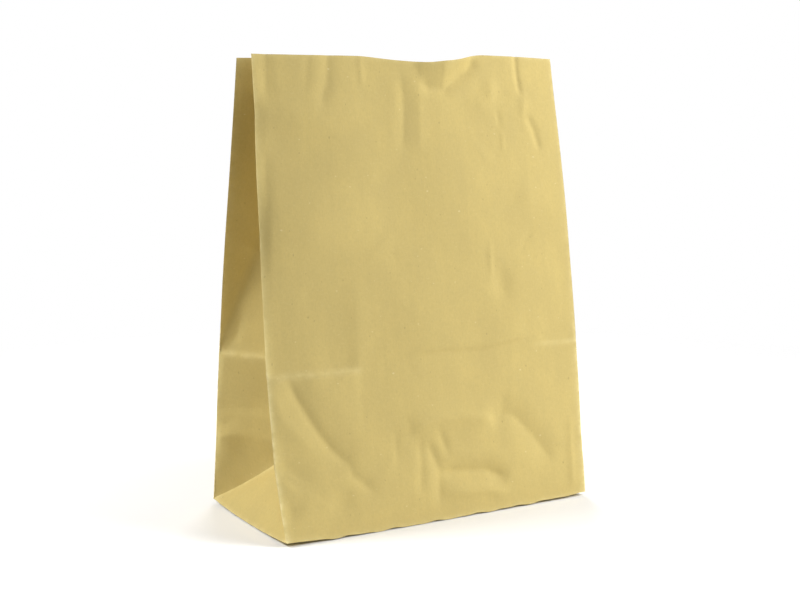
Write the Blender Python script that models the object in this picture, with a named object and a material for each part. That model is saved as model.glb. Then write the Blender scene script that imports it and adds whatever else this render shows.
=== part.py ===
"""A self-standing kraft paper bag with side gussets and a folded, glued block bottom.

It is the blank that a paper bag puppet is made from. The real bag is one folded sheet and its
glue, so each object here is one panel between two creases, and a crease is a hinge or a fold.
The origin is the centre of the base on the ground: +X is the bag's right as seen from the
front, +Y runs to the back and +Z up.
"""

from math import cos, radians, sin, sqrt

import bpy
from mathutils import Matrix, Vector

# driving dimensions, in metres
PANEL_WIDTH = 0.254
SIDE_DEPTH = 0.127
PANEL_HEIGHT = 0.330  # along the paper, from the base crease to the mouth
CREASE_HEIGHT = 0.115  # the horizontal crease left by the flat fold
TRANSITION_HEIGHT = 0.225  # where the slanting gusset crease reaches the centre crease
FRONT_LEAN = radians(8.0)
BACK_LEAN = radians(9.8)
APEX_INSET = 0.042  # how far the centre crease has folded in above the bottom triangle
FLAP_OVERLAP = 0.024
SEAM_WIDTH = 0.020
GLUE_LENGTH = 0.090

# paper and clearances
PAPER = 0.0002
GLUE = 0.0001
LAYER_GAP = 0.0003
FOLD_OFFSET = 0.0006  # the gussets hinge just inside the panels' own plane
HINGE_GAP = 0.0004
CREASE_GAP = 0.00075
CORNER_GAP = 0.0015
OPEN_PIVOT_GAP = 0.0025  # at the centre crease, where front and back gussets only meet
MOUTH_PIVOT_GAP = 0.008  # wider at the mouth, where the two halves lie almost face to face
BLUNT_TIP = 0.012  # cut off the corner of an upper gusset panel at the centre crease
TUCK_SETBACK = 0.0022

FRONT = -1
BACK = 1
SIDES = {"left": -1, "right": 1}
FACES = {"front": FRONT, "back": BACK}
LEAN = {FRONT: FRONT_LEAN, BACK: BACK_LEAN}

KRAFT = (0.56, 0.43, 0.17, 1.0)
KRAFT_SHADED = (0.50, 0.38, 0.15, 1.0)
GLUE_COLOUR = (0.80, 0.74, 0.55, 1.0)


def clear_scene():
    for obj in list(bpy.data.objects):
        bpy.data.objects.remove(obj, do_unlink=True)


def paper_material(name, colour, roughness=0.85):
    material = bpy.data.materials.new(name)
    material.use_nodes = True
    shader = material.node_tree.nodes["Principled BSDF"]
    shader.inputs["Base Color"].default_value = colour
    shader.inputs["Roughness"].default_value = roughness
    shader.inputs["Metallic"].default_value = 0.0
    return material


def inset_outline(points, insets):
    """The counter-clockwise outline with each edge moved inwards by its own distance."""
    lines = []
    for index, start in enumerate(points):
        along = (points[(index + 1) % len(points)] - start).normalized()
        inward = Vector((-along.y, along.x))
        lines.append((start + inward * insets[index], along))
    corners = []
    for index, (point, along) in enumerate(lines):
        before, before_along = lines[index - 1]
        turn = before_along.x * along.y - before_along.y * along.x
        gap = point - before
        reach = (gap.x * along.y - gap.y * along.x) / turn
        corners.append(before + before_along * reach)
    return corners


def facet(collection, name, corners, insets, material, thickness=PAPER):
    """A flat plate of paper on its corners, whose first corner is its origin, on its hinge."""
    origin = corners[0]
    x_axis = (corners[1] - origin).normalized()
    z_axis = x_axis.cross(corners[2] - origin).normalized()
    y_axis = z_axis.cross(x_axis)
    flat = [Vector(((p - origin).dot(x_axis), (p - origin).dot(y_axis))) for p in corners]
    curve = bpy.data.curves.new(name, "CURVE")
    curve.dimensions = "2D"
    curve.fill_mode = "BOTH"
    curve.extrude = thickness / 2
    outline = inset_outline(flat, insets)
    spline = curve.splines.new("POLY")
    spline.points.add(len(outline) - 1)
    for point, corner in zip(spline.points, outline):
        point.co = (corner.x, corner.y, 0.0, 1.0)
    spline.use_cyclic_u = True
    curve.materials.append(material)
    plate = bpy.data.objects.new(name, curve)
    turn = Matrix((x_axis, y_axis, z_axis)).transposed().to_4x4()
    plate.matrix_world = Matrix.Translation(origin) @ turn
    collection.objects.link(plate)
    return plate


def panel_point(x, face, height, inward=0.0):
    """A point of the front or back panel, or of a plane that lies inward of it."""
    lean = LEAN[face]
    depth = SIDE_DEPTH / 2 - height * sin(lean) - inward * cos(lean)
    return Vector((x, face * depth, height * cos(lean) - inward * sin(lean)))


def gusset_edge(side, face, height):
    return panel_point(side * PANEL_WIDTH / 2, face, height, FOLD_OFFSET)


def middle(height):
    """How far back the gusset's centre crease lies at a height, and half the gap there."""
    front = gusset_edge(1, FRONT, height)
    back = gusset_edge(1, BACK, height)
    return (front.y + back.y) / 2, (back.y - front.y) / 2, (front.z + back.z) / 2


def apex(side):
    """The tip of the bottom triangle, where the 45 degree creases meet."""
    rise = sqrt((SIDE_DEPTH / 2) ** 2 - APEX_INSET**2)
    return Vector((side * (PANEL_WIDTH / 2 - APEX_INSET), 0.0, rise))


def centre_crease(side, height):
    """A point of the folded-in centre crease: the gusset half keeps its width."""
    y, half_gap, z = middle(height)
    inset = sqrt((SIDE_DEPTH / 2) ** 2 - half_gap**2)
    return Vector((side * (PANEL_WIDTH / 2 - inset), y, z))


def lower_crease(side, face):
    """The centre crease at the horizontal crease, in the plane of the lower gusset half."""
    corner = gusset_edge(side, face, 0.0)
    edge = gusset_edge(side, face, CREASE_HEIGHT)
    normal = (edge - corner).cross(apex(side) - corner)
    y, _, z = middle(CREASE_HEIGHT)
    x = corner.x - (normal.y * (y - corner.y) + normal.z * (z - corner.z)) / normal.x
    return Vector((x, y, z))


def build_panels(collection):
    """The front and back panels, each in two at the horizontal crease."""
    half = PANEL_WIDTH / 2
    for name, face in FACES.items():
        material = paper_material(name + "_kraft", KRAFT)
        spans = {"lower": (0.0, CREASE_HEIGHT), "upper": (CREASE_HEIGHT, PANEL_HEIGHT)}
        for part, (low, high) in spans.items():
            corners = [
                panel_point(-half, face, low),
                panel_point(half, face, low),
                panel_point(half, face, high),
                panel_point(-half, face, high),
            ]
            top_gap = HINGE_GAP if part == "lower" else 0.0
            insets = (HINGE_GAP, 0.0, top_gap, 0.0)
            facet(collection, name + "_panel_" + part, corners, insets, material)


def build_seam(collection):
    """The long lap seam inside the back panel: the sheet's free edge and its line of glue."""
    glue_depth = PAPER / 2 + LAYER_GAP + GLUE / 2
    lap_depth = glue_depth + GLUE / 2 + LAYER_GAP + PAPER / 2
    foot = 0.004
    layers = (
        ("seam_glue", glue_depth, GLUE, 0.6 * SEAM_WIDTH, paper_material("seam_glue", GLUE_COLOUR, 0.6)),
        ("seam_lap", lap_depth, PAPER, SEAM_WIDTH, paper_material("seam_kraft", KRAFT_SHADED)),
    )
    for name, depth, thickness, width, material in layers:
        corners = [
            panel_point(-width / 2, BACK, foot, depth),
            panel_point(width / 2, BACK, foot, depth),
            panel_point(width / 2, BACK, PANEL_HEIGHT, depth),
            panel_point(-width / 2, BACK, PANEL_HEIGHT, depth),
        ]
        facet(collection, name, corners, (0.0,) * 4, material, thickness)


def short_of(tip, start, distance):
    """The point on the way from start to tip that lies a distance short of the tip."""
    return tip - (tip - start).normalized() * distance


def build_gusset_half(collection, side_name, face_name):
    """Half of one side gusset: four flat panels between its creases."""
    side = SIDES[side_name]
    face = FACES[face_name]
    prefix = side_name + "_" + face_name + "_gusset_"
    material = paper_material(prefix + "kraft", KRAFT_SHADED)
    corner = gusset_edge(side, face, 0.0)
    edge = gusset_edge(side, face, CREASE_HEIGHT)
    top = gusset_edge(side, face, PANEL_HEIGHT)
    low = lower_crease(side, face)
    high = centre_crease(side, TRANSITION_HEIGHT)
    mouth = centre_crease(side, PANEL_HEIGHT)
    mouth.z = top.z
    upper_corners = [edge, short_of(high, edge, BLUNT_TIP), short_of(high, top, BLUNT_TIP), top]
    panels = {
        "lower": ([corner, edge, low, apex(side)], (HINGE_GAP, CREASE_GAP, OPEN_PIVOT_GAP, CORNER_GAP)),
        "transition": ([edge, low, high], (CREASE_GAP, OPEN_PIVOT_GAP, CREASE_GAP)),
        "upper": (upper_corners, (CREASE_GAP, 0.0, HINGE_GAP, HINGE_GAP)),
        "mouth": ([top, mouth, high], (0.0, MOUTH_PIVOT_GAP, HINGE_GAP)),
    }
    for name, (corners, insets) in panels.items():
        facet(collection, prefix + name, corners, insets, material)


def build_bottom_triangle(collection, side_name):
    side = SIDES[side_name]
    material = paper_material(side_name + "_triangle_kraft", KRAFT)
    half_width = side * PANEL_WIDTH / 2
    corners = [
        Vector((half_width, -SIDE_DEPTH / 2, 0.0)),
        Vector((half_width, SIDE_DEPTH / 2, 0.0)),
        apex(side),
    ]
    insets = (HINGE_GAP, CORNER_GAP, CORNER_GAP)
    facet(collection, side_name + "_bottom_triangle", corners, insets, material)


def build_base(collection):
    """The block bottom: two end tucks folded in first, then two flaps glued to each other."""
    material = paper_material("base_kraft", KRAFT_SHADED)
    flap_depth = (SIDE_DEPTH + FLAP_OVERLAP) / 2
    front_level = PAPER / 2
    glue_level = PAPER + LAYER_GAP + GLUE / 2
    back_level = glue_level + GLUE / 2 + LAYER_GAP + PAPER / 2
    tuck_level = back_level + PAPER + LAYER_GAP
    half_width = PANEL_WIDTH / 2
    half_depth = SIDE_DEPTH / 2
    for name, face, level, setback in (
        ("bottom_front_flap", FRONT, front_level, HINGE_GAP),
        ("bottom_back_flap", BACK, back_level, 2 * HINGE_GAP),
    ):
        corners = [
            Vector((-half_width, face * half_depth, level)),
            Vector((half_width, face * half_depth, level)),
            Vector((half_width - flap_depth, face * (half_depth - flap_depth), level)),
            Vector((flap_depth - half_width, face * (half_depth - flap_depth), level)),
        ]
        facet(collection, name, corners, (setback, setback, 0.0, setback), material)
    for side_name, side in SIDES.items():
        corners = [
            Vector((side * half_width, -half_depth, tuck_level)),
            Vector((side * half_width, half_depth, tuck_level)),
            Vector((side * (half_width - half_depth), 0.0, tuck_level)),
        ]
        insets = (TUCK_SETBACK, HINGE_GAP, HINGE_GAP)
        facet(collection, "bottom_" + side_name + "_tuck", corners, insets, material)
    glue_half_depth = 0.4 * FLAP_OVERLAP
    corners = [
        Vector((-GLUE_LENGTH / 2, -glue_half_depth, glue_level)),
        Vector((GLUE_LENGTH / 2, -glue_half_depth, glue_level)),
        Vector((GLUE_LENGTH / 2, glue_half_depth, glue_level)),
        Vector((-GLUE_LENGTH / 2, glue_half_depth, glue_level)),
    ]
    glue = paper_material("bottom_glue", GLUE_COLOUR, 0.6)
    facet(collection, "bottom_glue", corners, (0.0,) * 4, glue, GLUE)


def main():
    clear_scene()
    collection = bpy.data.collections.new("paper_bag")
    bpy.context.scene.collection.children.link(collection)
    build_base(collection)
    build_panels(collection)
    build_seam(collection)
    for side_name in SIDES:
        build_bottom_triangle(collection, side_name)
        for face_name in FACES:
            build_gusset_half(collection, side_name, face_name)


main()
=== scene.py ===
import math

import bpy
import numpy as np
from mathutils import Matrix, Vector


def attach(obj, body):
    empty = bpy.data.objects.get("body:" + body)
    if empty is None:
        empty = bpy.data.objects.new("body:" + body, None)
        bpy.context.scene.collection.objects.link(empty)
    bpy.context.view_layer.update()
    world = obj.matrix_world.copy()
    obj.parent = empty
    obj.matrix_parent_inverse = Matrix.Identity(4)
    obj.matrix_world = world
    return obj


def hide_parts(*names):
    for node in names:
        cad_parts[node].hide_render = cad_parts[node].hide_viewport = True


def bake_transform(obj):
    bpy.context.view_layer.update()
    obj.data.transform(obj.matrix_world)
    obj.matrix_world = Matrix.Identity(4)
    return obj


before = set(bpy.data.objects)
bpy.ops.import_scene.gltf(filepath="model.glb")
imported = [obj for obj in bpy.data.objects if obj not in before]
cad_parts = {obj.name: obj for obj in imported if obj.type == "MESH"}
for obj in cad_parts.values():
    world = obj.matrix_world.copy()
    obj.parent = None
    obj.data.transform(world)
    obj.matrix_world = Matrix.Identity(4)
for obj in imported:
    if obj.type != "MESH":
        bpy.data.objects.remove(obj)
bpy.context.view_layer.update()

# A kraft paper bag. Every visible piece is a thin closed sheet of paper, worked out on the flat
# sheet: U runs across a panel from its middle and V up it from the base crease, both in
# millimetres, and the results are turned into metres at the end.
MM = 0.001
PAPER = 0.16             # thickness of the paper
PASTE = 0.08             # thickness of the dried paste
HALF_WIDTH = 127.0
HALF_DEPTH = 63.5
HEIGHT = 330.0
CREASE = 115.0           # height of the horizontal crease above the base
TRANSITION = 320.0       # where a gusset's slanting crease meets its centre crease
BASE_LIFT = 3.0          # the bottom bows down, so its corners stand this far off the ground
STEP = 1.6               # the size of a mesh cell

# the folds at the side edges
FLANGE = 0.9             # how far a panel's paper runs round the fold into the gusset
BEND_SHARES = (0.0, 0.25, 0.5, 0.75, 1.0)
BEND_U = np.array([0.0, 0.5, 0.9, 1.3, 1.8])      # how far round the bend each of those lies
GUSSET_START = 0.35      # the first column of a gusset, just behind the panel's edge
BEHIND = 3.0             # over this width the gusset's paper passes behind the panel's

# the gussets
APEX_INSET = 42.0        # how far in the 45 degree creases meet
CREASE_INSET = 35.5      # how far in the centre crease is at the horizontal crease
SOFT_FOLD = 5.0          # how far the rounding of a slanting fold reaches
TONGUE = 1.3             # how far a bottom triangle runs on behind the gussets

# the block bottom: how far each layer lies above the underside, from the outside in
FRONT_FLAP_LEVEL, BACK_FLAP_LEVEL, PASTE_LEVEL, TUCK_LEVEL = 0.0, 0.02, 0.30, 0.75
FLAP_JOG = 0.36          # how far the back flap steps up over the front one
FLAP_OVERLAP = 12.0
TUCK_OVERLAP = 6.0
TIP = 0.985              # a triangle's rows stop at this share of its height, just short of its tip

# where each kind of piece lies on the sheet, so that no two of them share their fibres and specks
GUSSET_SHEET, TRIANGLE_SHEET, BACK_SHEET, SEAM_SHEET = 400.0, 700.0, 1000.0, 1400.0
FLAP_SHEET, TUCK_SHEET, TUCK_SHEET_ACROSS = 2000.0, 3000.0, 300.0

LEFT, RIGHT = -1, 1
FRONT, BACK = -1, 1
SIDES = {"left": LEFT, "right": RIGHT}
FACES = {"front": FRONT, "back": BACK}


# ---------------------------------------------------------------- shapes on the flat sheet
def smooth(value, low, high):
    """0 below low, 1 above high (or the other way round) and a smooth rise between them."""
    t = np.clip((value - low) / (high - low), 0.0, 1.0)
    return t * t * (3 - 2 * t)


def soft_steps(value, stations, levels, soft=8.0):
    """A line through the stations, rounded over a width of soft."""
    offsets = np.linspace(-soft, soft, 9)
    return sum(np.interp(value + offset, stations, levels) for offset in offsets) / len(offsets)


def line_distance(U, V, points):
    """How far each point lies from a broken line, which side of it, and how far along it."""
    nearest = np.full(U.shape, 1e9)
    along = np.zeros(U.shape)
    side = np.ones(U.shape)
    travelled = 0.0
    for (u0, v0), (u1, v1) in zip(points, points[1:]):
        length = math.hypot(u1 - u0, v1 - v0)
        du, dv = (u1 - u0) / length, (v1 - v0) / length
        t = np.clip((U - u0) * du + (V - v0) * dv, 0.0, length)
        distance = np.hypot(U - u0 - t * du, V - v0 - t * dv)
        closer = distance < nearest
        nearest = np.where(closer, distance, nearest)
        along = np.where(closer, travelled + t, along)
        side = np.where(closer, np.sign((V - v0) * du - (U - u0) * dv), side)
        travelled += length
    return nearest, side, along, travelled


def end_fade(along, length, ends):
    """How strong a crease still is near the two ends of its line."""
    ends = min(ends, length / 2)
    return smooth(along, -ends * 0.3, ends) * smooth(length - along, -ends * 0.3, ends)


def fold(U, V, points, height, width, edge=1.2, ends=12.0):
    """A crease along a broken line: a sharp ridge (or valley) with flat flanks and fading ends."""
    nearest, _, along, length = line_distance(U, V, points)
    flank = np.clip(1 - (np.sqrt(nearest**2 + edge**2) - edge) / width, 0.0, 1.0)
    return height * flank**2 * end_fade(along, length, ends)


def ledge(U, V, points, height, width, reach, ends=12.0):
    """A narrow step along a line: its left side out and its right side in, then level again."""
    nearest, side, along, length = line_distance(U, V, points)
    step = smooth(nearest, 0.0, width / 2) * side
    away = np.exp(-np.clip(nearest - width / 2, 0, None) / reach)
    away = away * smooth(2.6 * reach - nearest, 0, reach)
    return 0.5 * height * step * away * end_fade(along, length, ends)


def dent(U, V, centre, radii, turn, height):
    """A round or oval bump, or a hollow where the height is negative."""
    c, s = math.cos(math.radians(turn)), math.sin(math.radians(turn))
    x = ((U - centre[0]) * c + (V - centre[1]) * s) / radii[0]
    y = ((V - centre[1]) * c - (U - centre[0]) * s) / radii[1]
    return height * np.exp(-(x * x + y * y))


def crumple(U, V, seed, count, spans, height):
    """Short straight creases at random, some out and some in, as handled paper has."""
    rng = np.random.default_rng(seed)
    (u_low, u_high), (v_low, v_high) = spans
    total = np.zeros(U.shape)
    for _ in range(count):
        u, v = rng.uniform(u_low, u_high), rng.uniform(v_low, v_high)
        angle = rng.uniform(0, math.pi)
        half = rng.uniform(9.0, 30.0)
        reach = (half * math.cos(angle), half * math.sin(angle))
        points = [(u - reach[0], v - reach[1]), (u + reach[0], v + reach[1])]
        size = height * rng.uniform(-1.0, 1.0)
        total += fold(U, V, points, size, rng.uniform(5.0, 15.0), edge=0.9, ends=half)
    return total


def sway(U, V, seed, height, shortest=55.0, longest=150.0):
    """The slow unevenness of a large panel."""
    rng = np.random.default_rng(seed)
    total = np.zeros(U.shape)
    waves = 7
    for _ in range(waves):
        angle = rng.uniform(0, math.pi)
        wave = rng.uniform(shortest, longest)
        phase = rng.uniform(0, 2 * math.pi)
        total += np.cos((U * math.cos(angle) + V * math.sin(angle)) * 2 * math.pi / wave + phase)
    return total * height / waves**0.5


def front_relief(U, V):
    """How far the front panel stands out of its plane, in millimetres."""
    relief = sway(U, V, 3, 0.40)
    relief += crumple(U, V, 11, 34, ((-125, 125), (5, 325)), 0.40)
    # the broad swells: a light and a dark patch on the left, a faint upright crease beside them
    relief += dent(U, V, (-92, 212), (44, 27), 0, 4.4)
    relief += dent(U, V, (-100, 290), (30, 12), 0, 2.0)
    relief += fold(U, V, [(-56, 176), (-59, 124), (-61, 100)], 0.9, 24, edge=3.0, ends=26)
    relief += dent(U, V, (-20, 215), (26, 60), 0, -0.8)
    # the horizontal crease: facing up on the left, down across the middle, up again on the right
    left_part = [(-132, 112), (-107, 112.5), (-86, 111.5), (-56, 111)]
    relief += ledge(U, V, left_part, -2.1, 4.5, 24, ends=10)
    middle_part = [(-14, 119), (14, 119), (47, 118), (70, 121), (84, 123)]
    relief += ledge(U, V, middle_part, 1.0, 4.0, 20, ends=14)
    relief += ledge(U, V, [(92, 117), (132, 115)], -0.7, 3.5, 14)
    # the long slanting crease at the lower left, the ridge above it and the hollows below it
    slant = [(-105, 94), (-91, 69), (-82, 57)]
    relief += fold(U, V, [(-114, 115), *slant, (-67, 43)], -2.1, 24, edge=0.7, ends=14)
    relief += fold(U, V, [(-112, 111), *slant, (-70, 45)], -0.6, 7, edge=0.5, ends=14)
    relief += fold(U, V, [(-71, 48), (-69, 38), (-52, 23)], -1.3, 11, edge=0.6)
    relief += fold(U, V, [(-128, 108), (-118, 82), (-94, 56)], 0.8, 12)
    relief += ledge(U, V, [(-131, 46), (-118, 43), (-106, 33)], -2.0, 12, 12)
    relief += dent(U, V, (-121, 20), (8, 9), 0, -1.5)
    relief += dent(U, V, (-80, 22), (10, 8), 30, -1.2)
    # the middle: a swell, the bright hollow under it, and upright wrinkles on its left
    relief += fold(U, V, [(-22, 66), (2, 70), (23, 69), (50, 66)], 1.9, 20)
    relief += fold(U, V, [(-1, 31), (20, 30), (39, 28), (58, 19)], -3.0, 15, edge=0.6)
    relief += fold(U, V, [(5, 15), (38, 14), (56, 9)], 1.2, 8)
    relief += fold(U, V, [(-32, 66), (-34, 42)], -0.6, 7, edge=0.7)
    relief += fold(U, V, [(-14, 60), (-14, 40), (-18, 18)], -0.8, 8, edge=0.7)
    relief += fold(U, V, [(-8, 56), (0, 33), (-3, 8)], -1.5, 10, edge=0.7)
    relief += fold(U, V, [(2, 62), (10, 41)], -1.0, 7, edge=0.6)
    # the curved crease at the lower right, and the upright one beside the edge
    curve = [(46, 60), (58, 67), (66, 66), (75, 57), (87, 43), (99, 27)]
    relief += fold(U, V, curve, -1.9, 18, edge=0.6)
    relief += dent(U, V, (58, 76), (6, 8), 0, -0.6)
    relief += fold(U, V, [(117, 62), (115, 3)], 0.7, 6, edge=0.8)
    # the dented mouth: the paper leans forwards above a curved crease
    crease = np.interp(U, (-8, 8, 14, 27, 48, 60), (336, 312, 309, 308, 322, 338))
    relief += 6.2 * smooth(V - crease, 0, 21) * smooth(U, -14, 50) * smooth(U, 88, 60)
    curve = [(6, 313), (14, 309), (27, 308), (48, 322), (58, 331)]
    relief += fold(U, V, curve, -1.5, 10, edge=0.5, ends=8)
    relief += fold(U, V, [(69, 320), (67, 296)], 0.9, 12)
    relief += fold(U, V, [(93, 340), (93, 320), (95, 304)], -1.0, 4, edge=0.3, ends=6)
    relief += fold(U, V, [(97, 308), (95, 284)], 0.6, 8)
    relief += dent(U, V, (60, 297), (10, 8), 0, 0.9)
    relief += fold(U, V, [(98, 290), (104, 278), (107, 262)], -0.9, 6, edge=0.5, ends=6)
    relief += fold(U, V, [(72, 293), (73, 281)], -0.5, 4, edge=0.5, ends=4)
    relief += fold(U, V, [(75, 278), (74, 261)], 0.35, 3, edge=0.5, ends=5)
    relief += fold(U, V, [(-9, 320), (-9, 292), (-12, 262)], -0.7, 9, edge=0.8)
    relief += fold(U, V, [(4, 312), (3, 266)], 0.5, 8)
    # upright creases at the upper left
    relief += fold(U, V, [(-116, 340), (-117, 298)], -0.7, 10)
    relief += fold(U, V, [(-120, 264), (-121, 214)], -0.6, 8)
    relief += fold(U, V, [(-67, 340), (-70, 313), (-77, 294)], -0.9, 11, edge=0.8)
    relief += fold(U, V, [(-42, 334), (-42, 310)], 0.4, 4, edge=0.6, ends=6)
    # small marks on the right
    relief += dent(U, V, (64, 163), (8, 12), 0, -1.3)
    relief += fold(U, V, [(56, 198), (54, 163)], 0.35, 4, edge=0.6)
    relief += dent(U, V, (92, 228), (9, 10), 0, 0.6)
    return relief


def back_relief(U, V):
    """How far the back panel stands out of its plane, in millimetres."""
    relief = sway(U, V, 23, 0.6)
    relief += crumple(U, V, 29, 40, ((-125, 125), (5, 325)), 0.42)
    relief += fold(U, V, [(-132, 113), (-40, 115), (40, 116), (132, 114)], 1.2, 7, edge=0.7, ends=20)
    relief += fold(U, V, [(-128, 112), (-96, 84), (-70, 52), (-50, 20)], -1.9, 13, edge=1.0)
    relief += fold(U, V, [(128, 112), (98, 82), (76, 44)], -1.6, 13, edge=1.0)
    relief += fold(U, V, [(20, 88), (34, 52), (30, 8)], -1.5, 11, edge=1.0)
    relief += fold(U, V, [(-60, 332), (-48, 296), (-52, 262)], -1.2, 10)
    relief += fold(U, V, [(70, 334), (80, 300), (104, 276)], 1.0, 9)
    relief += dent(U, V, (-70, 190), (24, 16), 40, -1.2)
    relief += dent(U, V, (60, 235), (26, 18), 20, 1.0)
    return relief


# the side edges of each panel: how far they lean in at each station up the sheet, and how far
# they stand out sideways
STATIONS = (-10, 0, 47, 113, 117, 165, 205, 251, 290, 331, 345)
EDGES = {
    (FRONT, LEFT): ((-2.5, 0, 13.5, 23.5, 24.0, 28.5, 33.0, 38.0, 42.0, 46.5, 48), 2.4),
    (FRONT, RIGHT): ((-1.2, 0, 6.0, 14.2, 14.6, 21.5, 28.0, 35.5, 42.5, 50.0, 52), 0.0),
    (BACK, LEFT): ((-2.0, 0, 7.5, 16.0, 16.6, 24.5, 32.0, 41.0, 48.5, 56.5, 59), 0.3),
    (BACK, RIGHT): ((-1.8, 0, 6.5, 17.0, 17.6, 26.0, 33.5, 41.5, 48.0, 55.0, 57), 0.8),
}
RELIEF = {FRONT: front_relief, BACK: back_relief}


def edge_curve(face, side, V):
    """A panel's side edge: its lean inwards, its height, and its swing outwards, along V."""
    lean, swing = EDGES[face, side]
    steps = np.arange(STATIONS[0], STATIONS[-1] + 1.0, 1.0)
    offset = soft_steps(steps, STATIONS, lean, soft=5.0)
    rise = np.sqrt(1 - np.gradient(offset, steps) ** 2)
    height = np.concatenate(([0.0], np.cumsum((rise[1:] + rise[:-1]) / 2)))
    height -= np.interp(0.0, steps, height)
    out = swing * np.sin(np.clip(V / 290.0, 0, 1) * math.pi) ** 0.7
    return np.interp(V, steps, offset), np.interp(V, steps, height), out


def panel_surface(face, U, V):
    """Points of the front or back panel, in millimetres, with their relief."""
    share = (U + HALF_WIDTH) / (2 * HALF_WIDTH)
    left_lean, left_z, left_out = edge_curve(face, LEFT, V)
    right_lean, right_z, right_out = edge_curve(face, RIGHT, V)
    lean = left_lean * (1 - share) + right_lean * share
    z = left_z * (1 - share) + right_z * share + BASE_LIFT
    x = U - left_out * (1 - share) + right_out * share
    if face == FRONT:
        # the right edge draws in towards the mouth
        x = x - 2.2 * share * smooth(V, 215, 335)
    # the folds stiffen the paper, so the relief fades towards the side edges and the base
    edge_hold = 0.35 + 0.65 * smooth(HALF_WIDTH - np.abs(U), 0, 9)
    base_hold = smooth(V, -4, 10)
    out = RELIEF[face](U, V) * edge_hold * base_hold
    y = face * (HALF_DEPTH - lean + out)
    return np.stack([x, y, z + 0.12 * out], axis=-1)


# ---------------------------------------------------------------- meshes
def grid_normals(P):
    """Unit normals of a grid of points."""
    across = np.gradient(P, axis=1)
    up = np.gradient(P, axis=0)
    n = np.cross(across, up)
    return n / np.linalg.norm(n, axis=-1, keepdims=True)


def paper_piece(name, P, UV, wear_and_highlight, material, thickness=PAPER):
    """A closed sheet whose middle surface is the grid P, with its places UV on the flat sheet."""
    rows, cols = P.shape[:2]
    n = grid_normals(P) * thickness / 2
    points = np.concatenate([(P + n).reshape(-1, 3), (P - n).reshape(-1, 3)]) * MM
    index = np.arange(rows * cols).reshape(rows, cols)
    a, b = index[:-1, :-1].ravel(), index[:-1, 1:].ravel()
    c, d = index[1:, 1:].ravel(), index[1:, :-1].ravel()
    under = rows * cols
    loop = np.concatenate([index[0, :-1], index[:-1, -1], index[-1, :0:-1], index[:0:-1, 0]])
    after = np.roll(loop, -1)
    faces = np.concatenate([
        np.stack([a, b, c, d], 1),
        np.stack([d, c, b, a], 1) + under,
        np.stack([after, loop, loop + under, after + under], 1),
    ])
    mesh = bpy.data.meshes.new(name)
    mesh.from_pydata(points.tolist(), [], faces.tolist())
    uv_map = mesh.uv_layers.new(name="paper")
    flat = np.tile(UV.reshape(-1, 2), (2, 1)) * MM
    corners = np.empty(len(mesh.loops), np.int32)
    mesh.loops.foreach_get("vertex_index", corners)
    uv_map.data.foreach_set("uv", flat[corners].astype(np.float32).ravel())
    rubbed_and_lit = mesh.attributes.new("wear_and_highlight", "FLOAT", "POINT")
    rubbed_and_lit.data.foreach_set("value", np.tile(wear_and_highlight.ravel(), 2).astype(np.float32))
    mesh.materials.append(material)
    mesh.shade_smooth()
    mesh.set_sharp_from_angle(angle=math.radians(55))
    piece = bpy.data.objects.new(name, mesh)
    bpy.context.scene.collection.objects.link(piece)
    return piece


def rows_between(low, high):
    """Evenly spaced values from low to high, about one mesh cell apart."""
    return np.linspace(low, high, max(2, int(round((high - low) / STEP)) + 1))


# ---------------------------------------------------------------- gussets
def panel_edge(face, side, height):
    """A point of a panel's side edge."""
    return panel_surface(face, np.array([side * HALF_WIDTH]), np.array([height]))[0]


def apex(side):
    """Where the two 45 degree creases and the centre crease meet."""
    height = math.sqrt(HALF_DEPTH**2 - APEX_INSET**2)
    return np.array([side * (HALF_WIDTH - APEX_INSET), 0.0, height + BASE_LIFT])


def centre_points(side):
    """The folded-in centre crease, from the bottom triangle's tip to the mouth."""
    def at(height, inset=None):
        """The crease at a height: inset as said, or as the paper's width between the panels gives."""
        front = panel_edge(FRONT, side, height)
        back = panel_edge(BACK, side, height)
        if inset is None:
            half_gap = (back[1] - front[1]) / 2
            inset = math.sqrt(max(HALF_DEPTH**2 - half_gap**2, 1.0))
        middle = (front + back) / 2
        return np.array([side * (HALF_WIDTH - inset), middle[1], middle[2]])
    return [apex(side), at(CREASE, CREASE_INSET), at(TRANSITION), at(HEIGHT)]


def centre_curve(side, V):
    """The centre crease along V, its corners rounded by averaging over nearby heights."""
    points = np.array(centre_points(side))
    stations = (HALF_DEPTH, CREASE, TRANSITION, HEIGHT)
    soft = 3.0 * smooth(V, HALF_DEPTH, HALF_DEPTH + 12)
    samples = 7
    total = 0
    for share in np.linspace(-1, 1, samples):
        sample = np.clip(V + share * soft, HALF_DEPTH, None)
        total = total + np.stack([np.interp(sample, stations, points[:, k]) for k in range(3)], -1)
    return total / samples


def facet_points(side, face):
    """The corners of a gusset half's flat panels, on the sheet and in space."""
    flat = {
        "corner": (0, 0), "crease": (0, CREASE), "top": (0, HEIGHT),
        "apex": (HALF_DEPTH, HALF_DEPTH), "low": (HALF_DEPTH, CREASE),
        "high": (HALF_DEPTH, TRANSITION), "mouth": (HALF_DEPTH, HEIGHT),
    }
    space = {name: panel_edge(face, side, float(flat[name][1])) for name in ("corner", "crease", "top")}
    space.update(zip(("apex", "low", "high", "mouth"), centre_points(side)))
    return flat, space


FACETS = (
    ("corner", "crease", "low"), ("corner", "low", "apex"), ("crease", "low", "high"),
    ("crease", "high", "top"), ("top", "high", "mouth"),
)


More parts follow.
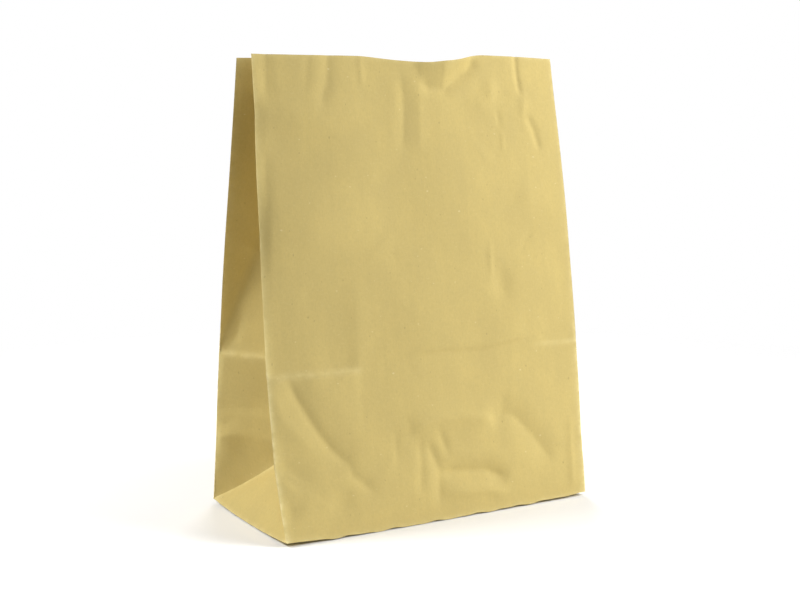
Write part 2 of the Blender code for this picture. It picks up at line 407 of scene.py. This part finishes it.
def facet_surface(side, face, S, V):
    """The gusset half as flat panels between sharp folds; S runs in from the panel's edge."""
    flat, space = facet_points(side, face)
    P = np.zeros(S.shape + (3,))
    best = np.full(S.shape, -1e9)
    for names in FACETS:
        (s0, v0), (s1, v1), (s2, v2) = (flat[n] for n in names)
        area = (s1 - s0) * (v2 - v0) - (s2 - s0) * (v1 - v0)
        b = ((S - s0) * (v2 - v0) - (s2 - s0) * (V - v0)) / area
        c = ((s1 - s0) * (V - v0) - (S - s0) * (v1 - v0)) / area
        a = 1 - b - c
        inside = np.minimum(np.minimum(a, b), c)
        here = inside > best
        best = np.where(here, inside, best)
        first, second, third = (space[n] for n in names)
        value = a[..., None] * first + b[..., None] * second + c[..., None] * third
        P = np.where(here[..., None], value, P)
    return P


def soft_facets(side, face, S, V):
    """The same surface with its slanting folds rounded by averaging over nearby points."""
    total = 0
    ring = [(math.cos(k * math.pi / 4), math.sin(k * math.pi / 4)) for k in range(8)]
    offsets = [(0.0, 0.0)] + [(0.5 * x, 0.5 * y) for x, y in ring] + ring
    room = np.minimum(np.minimum(S, HALF_DEPTH - S), np.abs(V - CREASE))
    room = np.clip(np.minimum(room, (V - S) * 0.7), 0, SOFT_FOLD)
    for ds, dv in offsets:
        total = total + facet_surface(side, face, S + ds * room, V + dv * room)
    return total / len(offsets)


def gusset_relief(side, face, S, V):
    """How far a gusset half stands out of its facets, towards the outside air."""
    seed = 40 + 7 * side + 3 * face
    relief = sway(S, V, seed, 0.35, 40, 110)
    relief += crumple(S, V, seed + 100, 16, ((2, 60), (30, 325)), 0.55)
    relief += ledge(S, V, [(-4, CREASE), (67, CREASE + 1)], -1.3, 4.5, 18, ends=2)
    relief += fold(S, V, [(0, 50), (20, 53), (44, 57), (66, 64)], 1.7, 20, edge=1.2, ends=6)
    relief += ledge(S, V, [(2, 70), (24, 71), (60, 74)], -0.7, 6, 10, ends=6)
    if (side, face) == (LEFT, BACK):
        relief += fold(S, V, [(6, 118), (14, 128), (18, 150)], -0.8, 7)
    return relief


def crease_bow(side, share):
    """How far a 45 degree crease is pressed in and down, from the corner (0) to the apex (1)."""
    depth = np.sin(np.clip(share, 0, 1) * math.pi) ** 0.8 * (1 - 0.35 * share)
    return depth[..., None] * np.array([-3.4 * side, 0.0, -1.6])


def gusset_half(side_name, face_name, material):
    """One half of a side gusset, as one sheet from its panel's edge to the centre crease."""
    side, face = SIDES[side_name], FACES[face_name]
    # columns run from the panel's edge to the centre crease; rows start on the 45 degree crease
    s = np.concatenate([[GUSSET_START], rows_between(STEP, HALF_DEPTH)])
    low = np.linspace(0, 1, 50)
    high = rows_between(CREASE, HEIGHT)[1:]
    S = np.tile(s, (len(low) + len(high), 1))
    V = np.concatenate([
        s[None, :] + (CREASE - s[None, :]) * low[:, None],
        np.tile(high[:, None], (1, len(s))),
    ])
    P = soft_facets(side, face, S, V)
    share = S / HALF_DEPTH
    # hold the edge to the panel's own edge, and the centre to the shared centre crease
    edge_V = V[:, 0]
    edge_true = panel_surface(face, np.full(edge_V.shape, side * HALF_WIDTH), edge_V)
    edge_flat = facet_surface(side, face, np.zeros(edge_V.shape), edge_V)
    fade = (1 - share)[..., None]
    shift = (edge_true - edge_flat)[:, None, :]
    P = P + shift * fade
    centre_V = np.clip(V[:, -1], HALF_DEPTH, HEIGHT)
    centre_flat = P[:, -1]
    centre_true = centre_curve(side, centre_V)
    P = P + (centre_true - centre_flat)[:, None, :] * (share**2)[..., None]
    normal = grid_normals(P)
    outward = np.sign(np.sum(normal * np.array([side, -face * 0.8, 0.0]), axis=-1, keepdims=True))
    hold = smooth(S, 0.5, 6) * smooth(HALF_DEPTH - S, 0, 6) * smooth(V - S, 0, 6)
    P = P + normal * outward * (gusset_relief(side, face, S, V) * hold)[..., None]
    behind = np.clip(1 - S / BEHIND, 0, 1)[..., None]
    P = P - normal * outward * PAPER * behind
    P = P + crease_bow(side, share) * (1 - smooth(V - S, 0, 34))[..., None]
    sheet_u = face * side * GUSSET_SHEET + side * S
    wear_and_highlight = 0.8 * np.exp(-S / 2.0) + 0.45 * np.exp(-np.abs(V - CREASE) / 2.6)
    wear_and_highlight += 0.25 * np.exp(-(V - S) / 2.2) + 0.30 * np.exp(-(HEIGHT - V) / 1.2)
    name = side_name + "_" + face_name + "_gusset"
    piece = paper_piece(name, P, np.stack([sheet_u, V], -1), np.clip(wear_and_highlight, 0, 1), material)
    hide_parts(*(name + "_" + part for part in ("lower", "transition", "upper", "mouth")))
    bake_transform(piece)


def bottom_triangle(side_name, material):
    """The sloping triangle between the base and the two 45 degree creases."""
    side = SIDES[side_name]
    tip = apex(side)
    y = rows_between(-HALF_DEPTH, HALF_DEPTH)
    q = np.linspace(0.0, TIP, 42)
    Y, Q = np.meshgrid(y, q)
    base = np.stack([np.full(Y.shape, side * HALF_WIDTH), Y, np.full(Y.shape, BASE_LIFT)], -1)
    sag = BASE_LIFT * (1 - (Y / HALF_DEPTH) ** 2) * (1 - Q) ** 2
    P = base * (1 - Q[..., None]) + tip * Q[..., None]
    P[..., 2] -= 0.8 * sag
    S, V = Y * (1 - Q) + HALF_DEPTH, Q * HALF_DEPTH
    seed = 70 + side
    relief = sway(S, V, seed, 0.3, 40, 90)
    relief += crumple(S, V, seed, 8, ((10, 118), (4, 50)), 0.5)
    relief += dent(S, V, (HALF_DEPTH - 8, 16), (30, 9), 0, 1.4)
    hold = smooth(HALF_DEPTH - np.abs(Y), 0, 8) * smooth(V, 0, 7) * smooth(1 - Q, 0, 0.12)
    normal = grid_normals(P)
    up = np.sign(normal[..., 2:3])
    P = P + normal * up * (relief * hold)[..., None]
    slant = (HALF_DEPTH - np.abs(Y)) * (1 - Q)
    P = P + crease_bow(side, Q) * (1 - smooth(slant, 0, 22))[..., None]
    # a narrow tongue carries on inside the bag, behind the gussets, so that no gap opens: it
    # runs square to the crease in the triangle's own plane
    tongue = TONGUE * smooth(Q[:, 0], 0.02, 0.14)[:, None]
    ends = []
    for column, end in ((0, FRONT), (-1, BACK)):
        beyond = np.array([-0.467 * side, 0.706 * end, 0.530])
        ends.append(P[:, column] + beyond * tongue)
    P = np.concatenate([ends[0][:, None], P, ends[1][:, None]], axis=1)
    Y, Q, S, V = (np.concatenate([G[:, :1], G, G[:, -1:]], axis=1) for G in (Y, Q, S, V))
    edge = np.minimum(HALF_DEPTH - np.abs(Y), 60) * (1 - Q) * 0.7
    wear_and_highlight = 0.6 * np.exp(-edge / 1.5) + 0.7 * np.exp(-V / 1.2)
    sheet = np.stack([side * TRIANGLE_SHEET + S, V], -1)
    name = side_name + "_bottom_triangle"
    piece = paper_piece(name + "_paper", P, sheet, np.clip(wear_and_highlight, 0, 1), material)
    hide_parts(name)
    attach(piece, "base")


# ---------------------------------------------------------------- front and back panels
def base_bow(face, U):
    """How far the base crease hangs below its corners."""
    if face == FRONT:
        stations = (-127, -95, -51, -5, 45, 105, 127)
        bow = soft_steps(U, stations, (0, 1.9, 2.6, 2.6, 2.1, 1.2, 0), 6)
        ripple = 0.34 * np.sin(U / 5.3) + 0.26 * np.sin(U / 2.9 + 1)
        return bow + ripple * smooth(HALF_WIDTH - np.abs(U), 0, 40)
    return 2.7 * (1 - (U / HALF_WIDTH) ** 2)


def mouth_line(face, U):
    """The cut edge of the mouth: nearly straight, with the dip that the dent makes."""
    if face == FRONT:
        stations = (-127, -90, -40, -14, 14, 38, 58, 93, 127)
        levels = (0.9, 0.9, 1.3, -1.0, -2.6, -0.4, 4.2, 3.6, 2.4)
        return HEIGHT + soft_steps(U, stations, levels, 6)
    stations = (-127, -60, 0, 50, 90, 127)
    return HEIGHT + soft_steps(U, stations, (0, -0.8, 0.6, -1.2, 0.7, 0.2), 10)


def gusset_direction(side, face, V):
    """The direction in which the gusset's paper leaves a panel's edge."""
    # measured a little way in, and clear of the bottom triangle
    s = np.full(V.shape, 9.0)
    V_in = np.clip(V, 12.0, HEIGHT)
    edge = facet_surface(side, face, np.zeros(V.shape), V_in)
    out = facet_surface(side, face, s, V_in) - edge
    return out / np.linalg.norm(out, axis=-1, keepdims=True)


def main_panel(face_name, material):
    """A front or back panel, its paper running round the folds at both sides."""
    face = FACES[face_name]
    u = rows_between(-HALF_WIDTH, HALF_WIDTH)
    rows = len(rows_between(0, HEIGHT))
    t = np.linspace(0, 1, rows)[:, None]
    base, mouth = -base_bow(face, u)[None, :], mouth_line(face, u)[None, :]
    V = base + (mouth - base) * t
    U = np.tile(u, (rows, 1))
    P = panel_surface(face, U, V)
    # round the side folds: a short curve tangent to the panel and to the gusset
    bends = {}
    for side, column in ((LEFT, 0), (RIGHT, -1)):
        corner = panel_surface(face, np.full(rows, side * HALF_WIDTH), V[:, column])
        inner = panel_surface(face, np.full(rows, side * (HALF_WIDTH - FLANGE)), V[:, column])
        beyond = corner + gusset_direction(side, face, V[:, column]) * FLANGE
        bends[side] = [
            inner * (1 - q) ** 2 + corner * 2 * q * (1 - q) + beyond * q * q for q in BEND_SHARES
        ]
    P = np.concatenate([
        np.stack(bends[LEFT][::-1], 1), P[:, 1:-1], np.stack(bends[RIGHT], 1),
    ], axis=1)
    around = HALF_WIDTH + FLANGE
    line = np.concatenate([-around + BEND_U, u[1:-1], around - BEND_U[::-1]])
    bend = len(BEND_U)
    V_all = np.concatenate([
        np.repeat(V[:, :1], bend, 1), V[:, 1:-1], np.repeat(V[:, -1:], bend, 1),
    ], axis=1)
    U_all = np.tile(line, (rows, 1))
    # pale paper along the side folds, most of all low down, along the horizontal crease and along the
    # cut edges: partly rubbed paper, partly painted highlight on the side folds and on the front's
    # crease where it faces up
    wear_and_highlight = 0.9 * np.exp(-(HALF_WIDTH - np.abs(U_all)).clip(0) / 1.6)
    wear_and_highlight = wear_and_highlight * (0.8 + 0.9 * smooth(V_all, 170, 90))
    if face == FRONT:
        # painted highlight: the front's crease is pale only along its left and right stretches, which
        # face up, and not across the middle, which faces down
        wear_and_highlight += 0.38 * np.exp(-np.abs(V_all - 111.5) / 2.2) * smooth(U_all, -52, -60)
        wear_and_highlight += 0.30 * np.exp(-np.abs(V_all - 116.5) / 1.4) * smooth(U_all, 84, 96)
    else:
        wear_and_highlight += 0.32 * np.exp(-np.abs(V_all - CREASE) / 1.8)
    wear_and_highlight += 0.6 * np.exp(-(V_all - V_all[:1]) / 1.4) + 0.35 * np.exp(-(V_all[-1:] - V_all) / 1.0)
    sheet_u = U_all if face == FRONT else U_all + BACK_SHEET
    name = face_name + "_panel"
    if face == BACK:
        # the columns run the other way, so that the faces point out of the bag
        P, V_all, sheet_u, wear_and_highlight = (grid[:, ::-1] for grid in (P, V_all, sheet_u, wear_and_highlight))
    piece = paper_piece(name, P, np.stack([sheet_u, V_all], -1), np.clip(wear_and_highlight, 0, 1.5), material)
    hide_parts(name + "_lower", name + "_upper")
    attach(piece, name)


def seam(material, glue):
    """The lap of the sheet's free edge down the inside of the back, on its line of paste."""
    # how deep inside the back it lies, its half width, thickness and foot, and how far it stops
    # short of the mouth
    for name, depth, half_width, thickness, foot, short, finish in (
        ("seam_lap", 0.42, 10.0, PAPER, 3.0, 0.0, material),
        ("seam_glue", 0.21, 6.5, PASTE, 6.0, 5.0, glue),
    ):
        u = rows_between(-half_width, half_width)
        rows = len(rows_between(0, HEIGHT))
        t = np.linspace(0, 1, rows)[:, None]
        top = mouth_line(BACK, u)[None, :] - short
        V = foot + (top - foot) * t
        U = np.tile(u, (rows, 1))
        P = panel_surface(BACK, U, V)
        rng = np.random.default_rng(5)
        ripple = 0.12 * np.sin(V / 7.0 + rng.uniform(0, 6)) * (np.abs(U) / half_width) ** 2
        P[..., 1] -= depth + ripple.clip(0)
        wear_and_highlight = 0.4 * np.exp(-(half_width - np.abs(U)) / 0.9)
        sheet = np.stack([U + SEAM_SHEET, V], -1)
        piece = paper_piece(name + "_strip", P, sheet, wear_and_highlight, finish, thickness)
        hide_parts(name)
        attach(piece, "back_panel")


# ---------------------------------------------------------------- the block bottom
def base_height(X, Y):
    """The bottom's underside: it bows down to the ground in the middle."""
    front = BASE_LIFT - base_bow(FRONT, X)
    back = BASE_LIFT - base_bow(BACK, X)
    share = (Y + HALF_DEPTH) / (2 * HALF_DEPTH)
    rim = front * (1 - share) + back * share
    middle = 1 - (Y / HALF_DEPTH) ** 2
    ends = 0.8 * BASE_LIFT * middle * smooth(np.abs(X), 60, 127)
    return np.clip(rim - ends - 0.25 * middle, 0.0, None)


def flap(name, face, level, jog, seed, material):
    """A trapezoid bottom flap; the inner one steps up over the outer one where they overlap."""
    depth = HALF_DEPTH + FLAP_OVERLAP
    gap, end_gap = 0.5, 0.7
    across, Q = np.meshgrid(np.linspace(-1, 1, 150), np.linspace(0, 1, 52))
    Y = face * (HALF_DEPTH - gap - Q * (depth - gap))
    half = HALF_WIDTH - end_gap - Q * depth
    X = across * half
    step = jog * smooth(Q * depth, HALF_DEPTH - 18, HALF_DEPTH - 13)
    relief = 0.12 * sway(X, Y, seed, 1.0, 30, 90) * smooth(Q, 0, 0.15)
    Z = base_height(X, Y) + PAPER / 2 + level + step + np.clip(relief, 0, 0.25)
    wear_and_highlight = 0.6 * np.exp(-Q * depth / 1.3) + 0.5 * np.exp(-(1 - np.abs(across)) * half / 1.5)
    P = np.stack([X, Y, Z], -1)
    sheet = np.stack([X, Y + FLAP_SHEET * face], -1)
    piece = paper_piece(name + "_paper", P, sheet, np.clip(wear_and_highlight, 0, 1), material)
    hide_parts(name)
    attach(piece, "base")


def tuck(side_name, level, material):
    """The triangle of paper folded in at one end, on top of the flaps, slightly domed."""
    side = SIDES[side_name]
    gap, end_gap = 1.2, 0.9
    across, Q = np.meshgrid(np.linspace(-1, 1, 60), np.linspace(0, TIP, 40))
    Y = across * (HALF_DEPTH - gap) * (1 - Q)
    X = side * (HALF_WIDTH - end_gap - Q * (HALF_DEPTH + TUCK_OVERLAP))
    Z = base_height(X, Y) + level + 0.35 * np.sin(Q * math.pi) * (1 - across**2)
    P = np.stack([X, Y, Z], -1)
    name = "bottom_" + side_name + "_tuck"
    sheet = np.stack([X + side * TUCK_SHEET_ACROSS, Y + TUCK_SHEET], -1)
    piece = paper_piece(name + "_paper", P, sheet, np.zeros(X.shape), material)
    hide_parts(name)
    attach(piece, "base")


def bottom_glue(level, glue):
    """The band of paste between the two flaps, with ragged edges."""
    X, Y = np.meshgrid(rows_between(-45.0, 45.0), rows_between(-9.0, 9.0))
    ragged = 1 + 0.12 * np.sin(X / 3.1) + 0.08 * np.sin(X / 1.3 + 1)
    Y = Y * ragged
    P = np.stack([X, Y, base_height(X, Y) + level], -1)
    piece = paper_piece("bottom_paste", P, np.stack([X, Y], -1), np.zeros(X.shape), glue, PASTE)
    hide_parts("bottom_glue")
    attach(piece, "base")


# ---------------------------------------------------------------- materials
def node(tree, kind, **settings):
    """A new node, with its settings put on its inputs or, where it has no such input, on itself."""
    made = tree.nodes.new(kind)
    for key, value in settings.items():
        if key in made.inputs:
            made.inputs[key].default_value = value
        else:
            setattr(made, key, value)
    return made


def noise(tree, source, scale, stretch=(1, 1, 1), detail=3.0, roughness=0.55):
    """A noise's value, finer along an axis where its stretch is above 1."""
    mapping = node(tree, "ShaderNodeMapping", Scale=stretch)
    tree.links.new(source, mapping.inputs["Vector"])
    made = node(tree, "ShaderNodeTexNoise", Scale=scale, Detail=detail, Roughness=roughness)
    tree.links.new(mapping.outputs["Vector"], made.inputs["Vector"])
    return made.outputs["Fac"]


def span(tree, value, low, high, to_low, to_high):
    """A value mapped from one range to another."""
    ranges = {"From Min": low, "From Max": high, "To Min": to_low, "To Max": to_high}
    made = node(tree, "ShaderNodeMapRange", **ranges)
    tree.links.new(value, made.inputs["Value"])
    return made.outputs["Result"]


def mixed(tree, factor, first, second):
    """A mix of two colours; each argument is a socket or a plain value."""
    made = node(tree, "ShaderNodeMix", data_type="RGBA")
    colour_in = [i for i in made.inputs if i.type == "RGBA"]
    factor_in = [i for i in made.inputs if i.type == "VALUE"][0]
    for socket, value in ((factor_in, factor), (colour_in[0], first), (colour_in[1], second)):
        if isinstance(value, bpy.types.NodeSocket):
            tree.links.new(value, socket)
        else:
            socket.default_value = value
    return [o for o in made.outputs if o.type == "RGBA"][0]


def shade(colour, level):
    """A colour made lighter or darker, as RGBA."""
    return tuple(channel * level for channel in colour) + (1,)


KRAFT = (0.598, 0.468, 0.170)       # the paper itself
WORN_AND_HIGHLIT = (0.870, 0.750, 0.380)        # paper rubbed pale along a fold, and painted highlight along a lit fold
BARK = (0.340, 0.240, 0.085)        # dark specks
BLEACHED = (0.790, 0.690, 0.390)    # pale fibres and specks
THIN_PASTE = (0.62, 0.52, 0.28)
THICK_PASTE = (0.76, 0.68, 0.44)


def kraft_material(name):
    """Unbleached kraft: faintly cloudy, streaked along the web, with short fibres and specks."""
    material = bpy.data.materials.new(name)
    material.use_nodes = True
    tree = material.node_tree
    shader = tree.nodes["Principled BSDF"]
    shader.inputs["Specular IOR Level"].default_value = 0.25
    place = node(tree, "ShaderNodeUVMap")
    place.uv_map = "paper"
    uv = place.outputs["UV"]
    # clouding, broad patches and streaks along the web
    cloud = noise(tree, uv, 38, stretch=(1.3, 0.8, 1), detail=4.0, roughness=0.62)
    clouding = span(tree, cloud, 0.34, 0.66, 0.0, 1.0)
    colour = mixed(tree, clouding, shade(KRAFT, 0.955), shade(KRAFT, 1.045))
    patch = noise(tree, uv, 15, detail=4.0, roughness=0.6)
    colour = mixed(tree, span(tree, patch, 0.36, 0.64, 0.0, 0.55), colour, shade(KRAFT, 0.93))
    streak = noise(tree, uv, 190, stretch=(1.0, 0.06, 1), detail=3.0)
    colour = mixed(tree, span(tree, streak, 0.42, 0.72, 0.0, 0.30), colour, shade(KRAFT, 0.90))
    # dark fibres, pale lint, and dark and pale specks
    fibre = noise(tree, uv, 900, stretch=(1.0, 0.35, 1), detail=3.0, roughness=0.7)
    colour = mixed(tree, span(tree, fibre, 0.46, 0.70, 0.0, 0.34), colour, shade(KRAFT, 0.80))
    lint = noise(tree, uv, 760, stretch=(0.45, 1.0, 1), detail=2.0, roughness=0.6)
    colour = mixed(tree, span(tree, lint, 0.54, 0.74, 0.0, 0.09), colour, BLEACHED + (1,))
    speck = noise(tree, uv, 430, stretch=(1, 0.7, 1), detail=0.0)
    colour = mixed(tree, span(tree, speck, 0.82, 0.87, 0.0, 0.40), colour, BARK + (1,))
    pale = noise(tree, uv, 390, stretch=(0.7, 1, 1), detail=0.0)
    colour = mixed(tree, span(tree, pale, 0.83, 0.88, 0.0, 0.40), colour, BLEACHED + (1,))
    # pale, scuffed paper where the mesh's value says so: rubbed folds and edges, and painted highlight
    # along lit folds
    rubbed_and_lit = node(tree, "ShaderNodeAttribute", attribute_name="wear_and_highlight")
    scuff = noise(tree, uv, 130, detail=4.0)
    wear_and_highlight = node(tree, "ShaderNodeMath", operation="MULTIPLY")
    tree.links.new(rubbed_and_lit.outputs["Fac"], wear_and_highlight.inputs[0])
    tree.links.new(span(tree, scuff, 0.34, 0.66, 0.20, 0.85), wear_and_highlight.inputs[1])
    colour = mixed(tree, wear_and_highlight.outputs[0], colour, WORN_AND_HIGHLIT + (1,))
    tree.links.new(colour, shader.inputs["Base Color"])
    tree.links.new(span(tree, cloud, 0.3, 0.7, 0.74, 0.86), shader.inputs["Roughness"])
    # fibre tooth and a faint cockle
    fine = node(tree, "ShaderNodeBump", Strength=0.22, Distance=0.0001)
    tree.links.new(fibre, fine.inputs["Height"])
    cockle = node(tree, "ShaderNodeBump", Strength=0.35, Distance=0.0007)
    tree.links.new(noise(tree, uv, 90, detail=4.0), cockle.inputs["Height"])
    tree.links.new(fine.outputs["Normal"], cockle.inputs["Normal"])
    tree.links.new(cockle.outputs["Normal"], shader.inputs["Normal"])
    return material


def glue_material():
    """Dried paste: pale, slightly glossy and uneven."""
    material = bpy.data.materials.new("paste")
    material.use_nodes = True
    tree = material.node_tree
    shader = tree.nodes["Principled BSDF"]
    place = node(tree, "ShaderNodeUVMap")
    place.uv_map = "paper"
    blot = noise(tree, place.outputs["UV"], 150, detail=4.0)
    blots = span(tree, blot, 0.35, 0.65, 0.0, 1.0)
    colour = mixed(tree, blots, THIN_PASTE + (1,), THICK_PASTE + (1,))
    tree.links.new(colour, shader.inputs["Base Color"])
    tree.links.new(span(tree, blot, 0.3, 0.7, 0.35, 0.55), shader.inputs["Roughness"])
    return material


# ---------------------------------------------------------------- studio
FILL = 0.10                         # how strongly the white backdrop lights the bag
LAMP_AIM = (0.0, 0.0, 0.12)
LAMPS = (                           # name, place, size and power
    ("key", (0.75, -0.60, 0.50), 0.40, 8.0),
    ("high", (0.48, -0.50, 0.95), 0.40, 5.5),
    ("side", (-0.84, 0.33, 0.83), 0.40, 12.2),
    ("back", (0.50, 1.00, 0.70), 0.50, 7.0),
)
FLOOR_SIZE = 6
FLOOR_DROP = 0.0002                 # the floor lies this far below the bag
FLOOR_FADE = (0.28, 0.85)           # it fades out between these distances from the middle
FLOOR_WHITE = 0.92

CAMERA_AZIMUTH, CAMERA_ELEVATION = math.radians(-30.4), math.radians(7.75)
CAMERA_DISTANCE = 1.009
CAMERA_AIM = (-0.0009, 0.0, 0.1495 + BASE_LIFT * MM)
CAMERA_LENS = 60.9


def sky():
    """A white backdrop that gives only a little light, so that the lamps shape the paper."""
    world = bpy.data.worlds.new("sky")
    world.use_nodes = True
    tree = world.node_tree
    tree.nodes["Background"].inputs["Color"].default_value = (1, 1, 1, 1)
    seen = node(tree, "ShaderNodeLightPath")
    strength = span(tree, seen.outputs["Is Camera Ray"], 0.0, 1.0, FILL, 1.0)
    tree.links.new(strength, tree.nodes["Background"].inputs["Strength"])
    bpy.context.scene.world = world


def studio():
    """A pale floor that fades into the white backdrop, and four soft lamps."""
    bpy.ops.mesh.primitive_plane_add(size=FLOOR_SIZE, location=(0, 0, -FLOOR_DROP))
    floor = bpy.context.active_object
    floor.name = "floor"
    pale = bpy.data.materials.new("pale_floor")
    pale.use_nodes = True
    tree = pale.node_tree
    shader = tree.nodes["Principled BSDF"]
    shader.inputs["Base Color"].default_value = (FLOOR_WHITE, FLOOR_WHITE, FLOOR_WHITE, 1)
    shader.inputs["Roughness"].default_value = 0.9
    place = node(tree, "ShaderNodeTexCoord")
    reach = node(tree, "ShaderNodeVectorMath", operation="LENGTH")
    tree.links.new(place.outputs["Object"], reach.inputs[0])
    clear = node(tree, "ShaderNodeBsdfTransparent")
    faded = node(tree, "ShaderNodeMixShader")
    tree.links.new(span(tree, reach.outputs["Value"], *FLOOR_FADE, 0.0, 1.0), faded.inputs[0])
    tree.links.new(shader.outputs["BSDF"], faded.inputs[1])
    tree.links.new(clear.outputs["BSDF"], faded.inputs[2])
    tree.links.new(faded.outputs["Shader"], tree.nodes["Material Output"].inputs["Surface"])
    floor.data.materials.append(pale)
    sky()
    for name, place, size, power in LAMPS:
        light = bpy.data.lights.new(name, "AREA")
        light.size = size
        light.energy = power
        lamp = bpy.data.objects.new(name, light)
        lamp.location = place
        lamp.rotation_euler = (Vector(LAMP_AIM) - lamp.location).to_track_quat("-Z", "Y").to_euler()
        lamp.visible_camera = False
        bpy.context.scene.collection.objects.link(lamp)
    bpy.context.scene.view_settings.view_transform = "Standard"


def camera():
    """The view from the front left, a little above the bag."""
    lens = bpy.data.cameras.new("camera")
    lens.sensor_width = 36.0
    lens.lens = CAMERA_LENS
    viewer = bpy.data.objects.new("camera", lens)
    toward = Vector((
        math.sin(CAMERA_AZIMUTH) * math.cos(CAMERA_ELEVATION),
        -math.cos(CAMERA_AZIMUTH) * math.cos(CAMERA_ELEVATION),
        math.sin(CAMERA_ELEVATION),
    ))
    viewer.location = Vector(CAMERA_AIM) + toward * CAMERA_DISTANCE
    viewer.rotation_euler = (-toward).to_track_quat("-Z", "Y").to_euler()
    bpy.context.scene.collection.objects.link(viewer)
    bpy.context.scene.camera = viewer


def build():
    paper = kraft_material("kraft")
    glue = glue_material()
    for face_name in FACES:
        main_panel(face_name, paper)
    seam(paper, glue)
    for side_name in SIDES:
        bottom_triangle(side_name, paper)
        for face_name in FACES:
            gusset_half(side_name, face_name, paper)
    flap("bottom_front_flap", FRONT, FRONT_FLAP_LEVEL, 0.0, 81, paper)
    flap("bottom_back_flap", BACK, BACK_FLAP_LEVEL, FLAP_JOG, 82, paper)
    bottom_glue(PASTE_LEVEL, glue)
    for side_name in SIDES:
        tuck(side_name, TUCK_LEVEL, paper)


camera()
studio()
build()
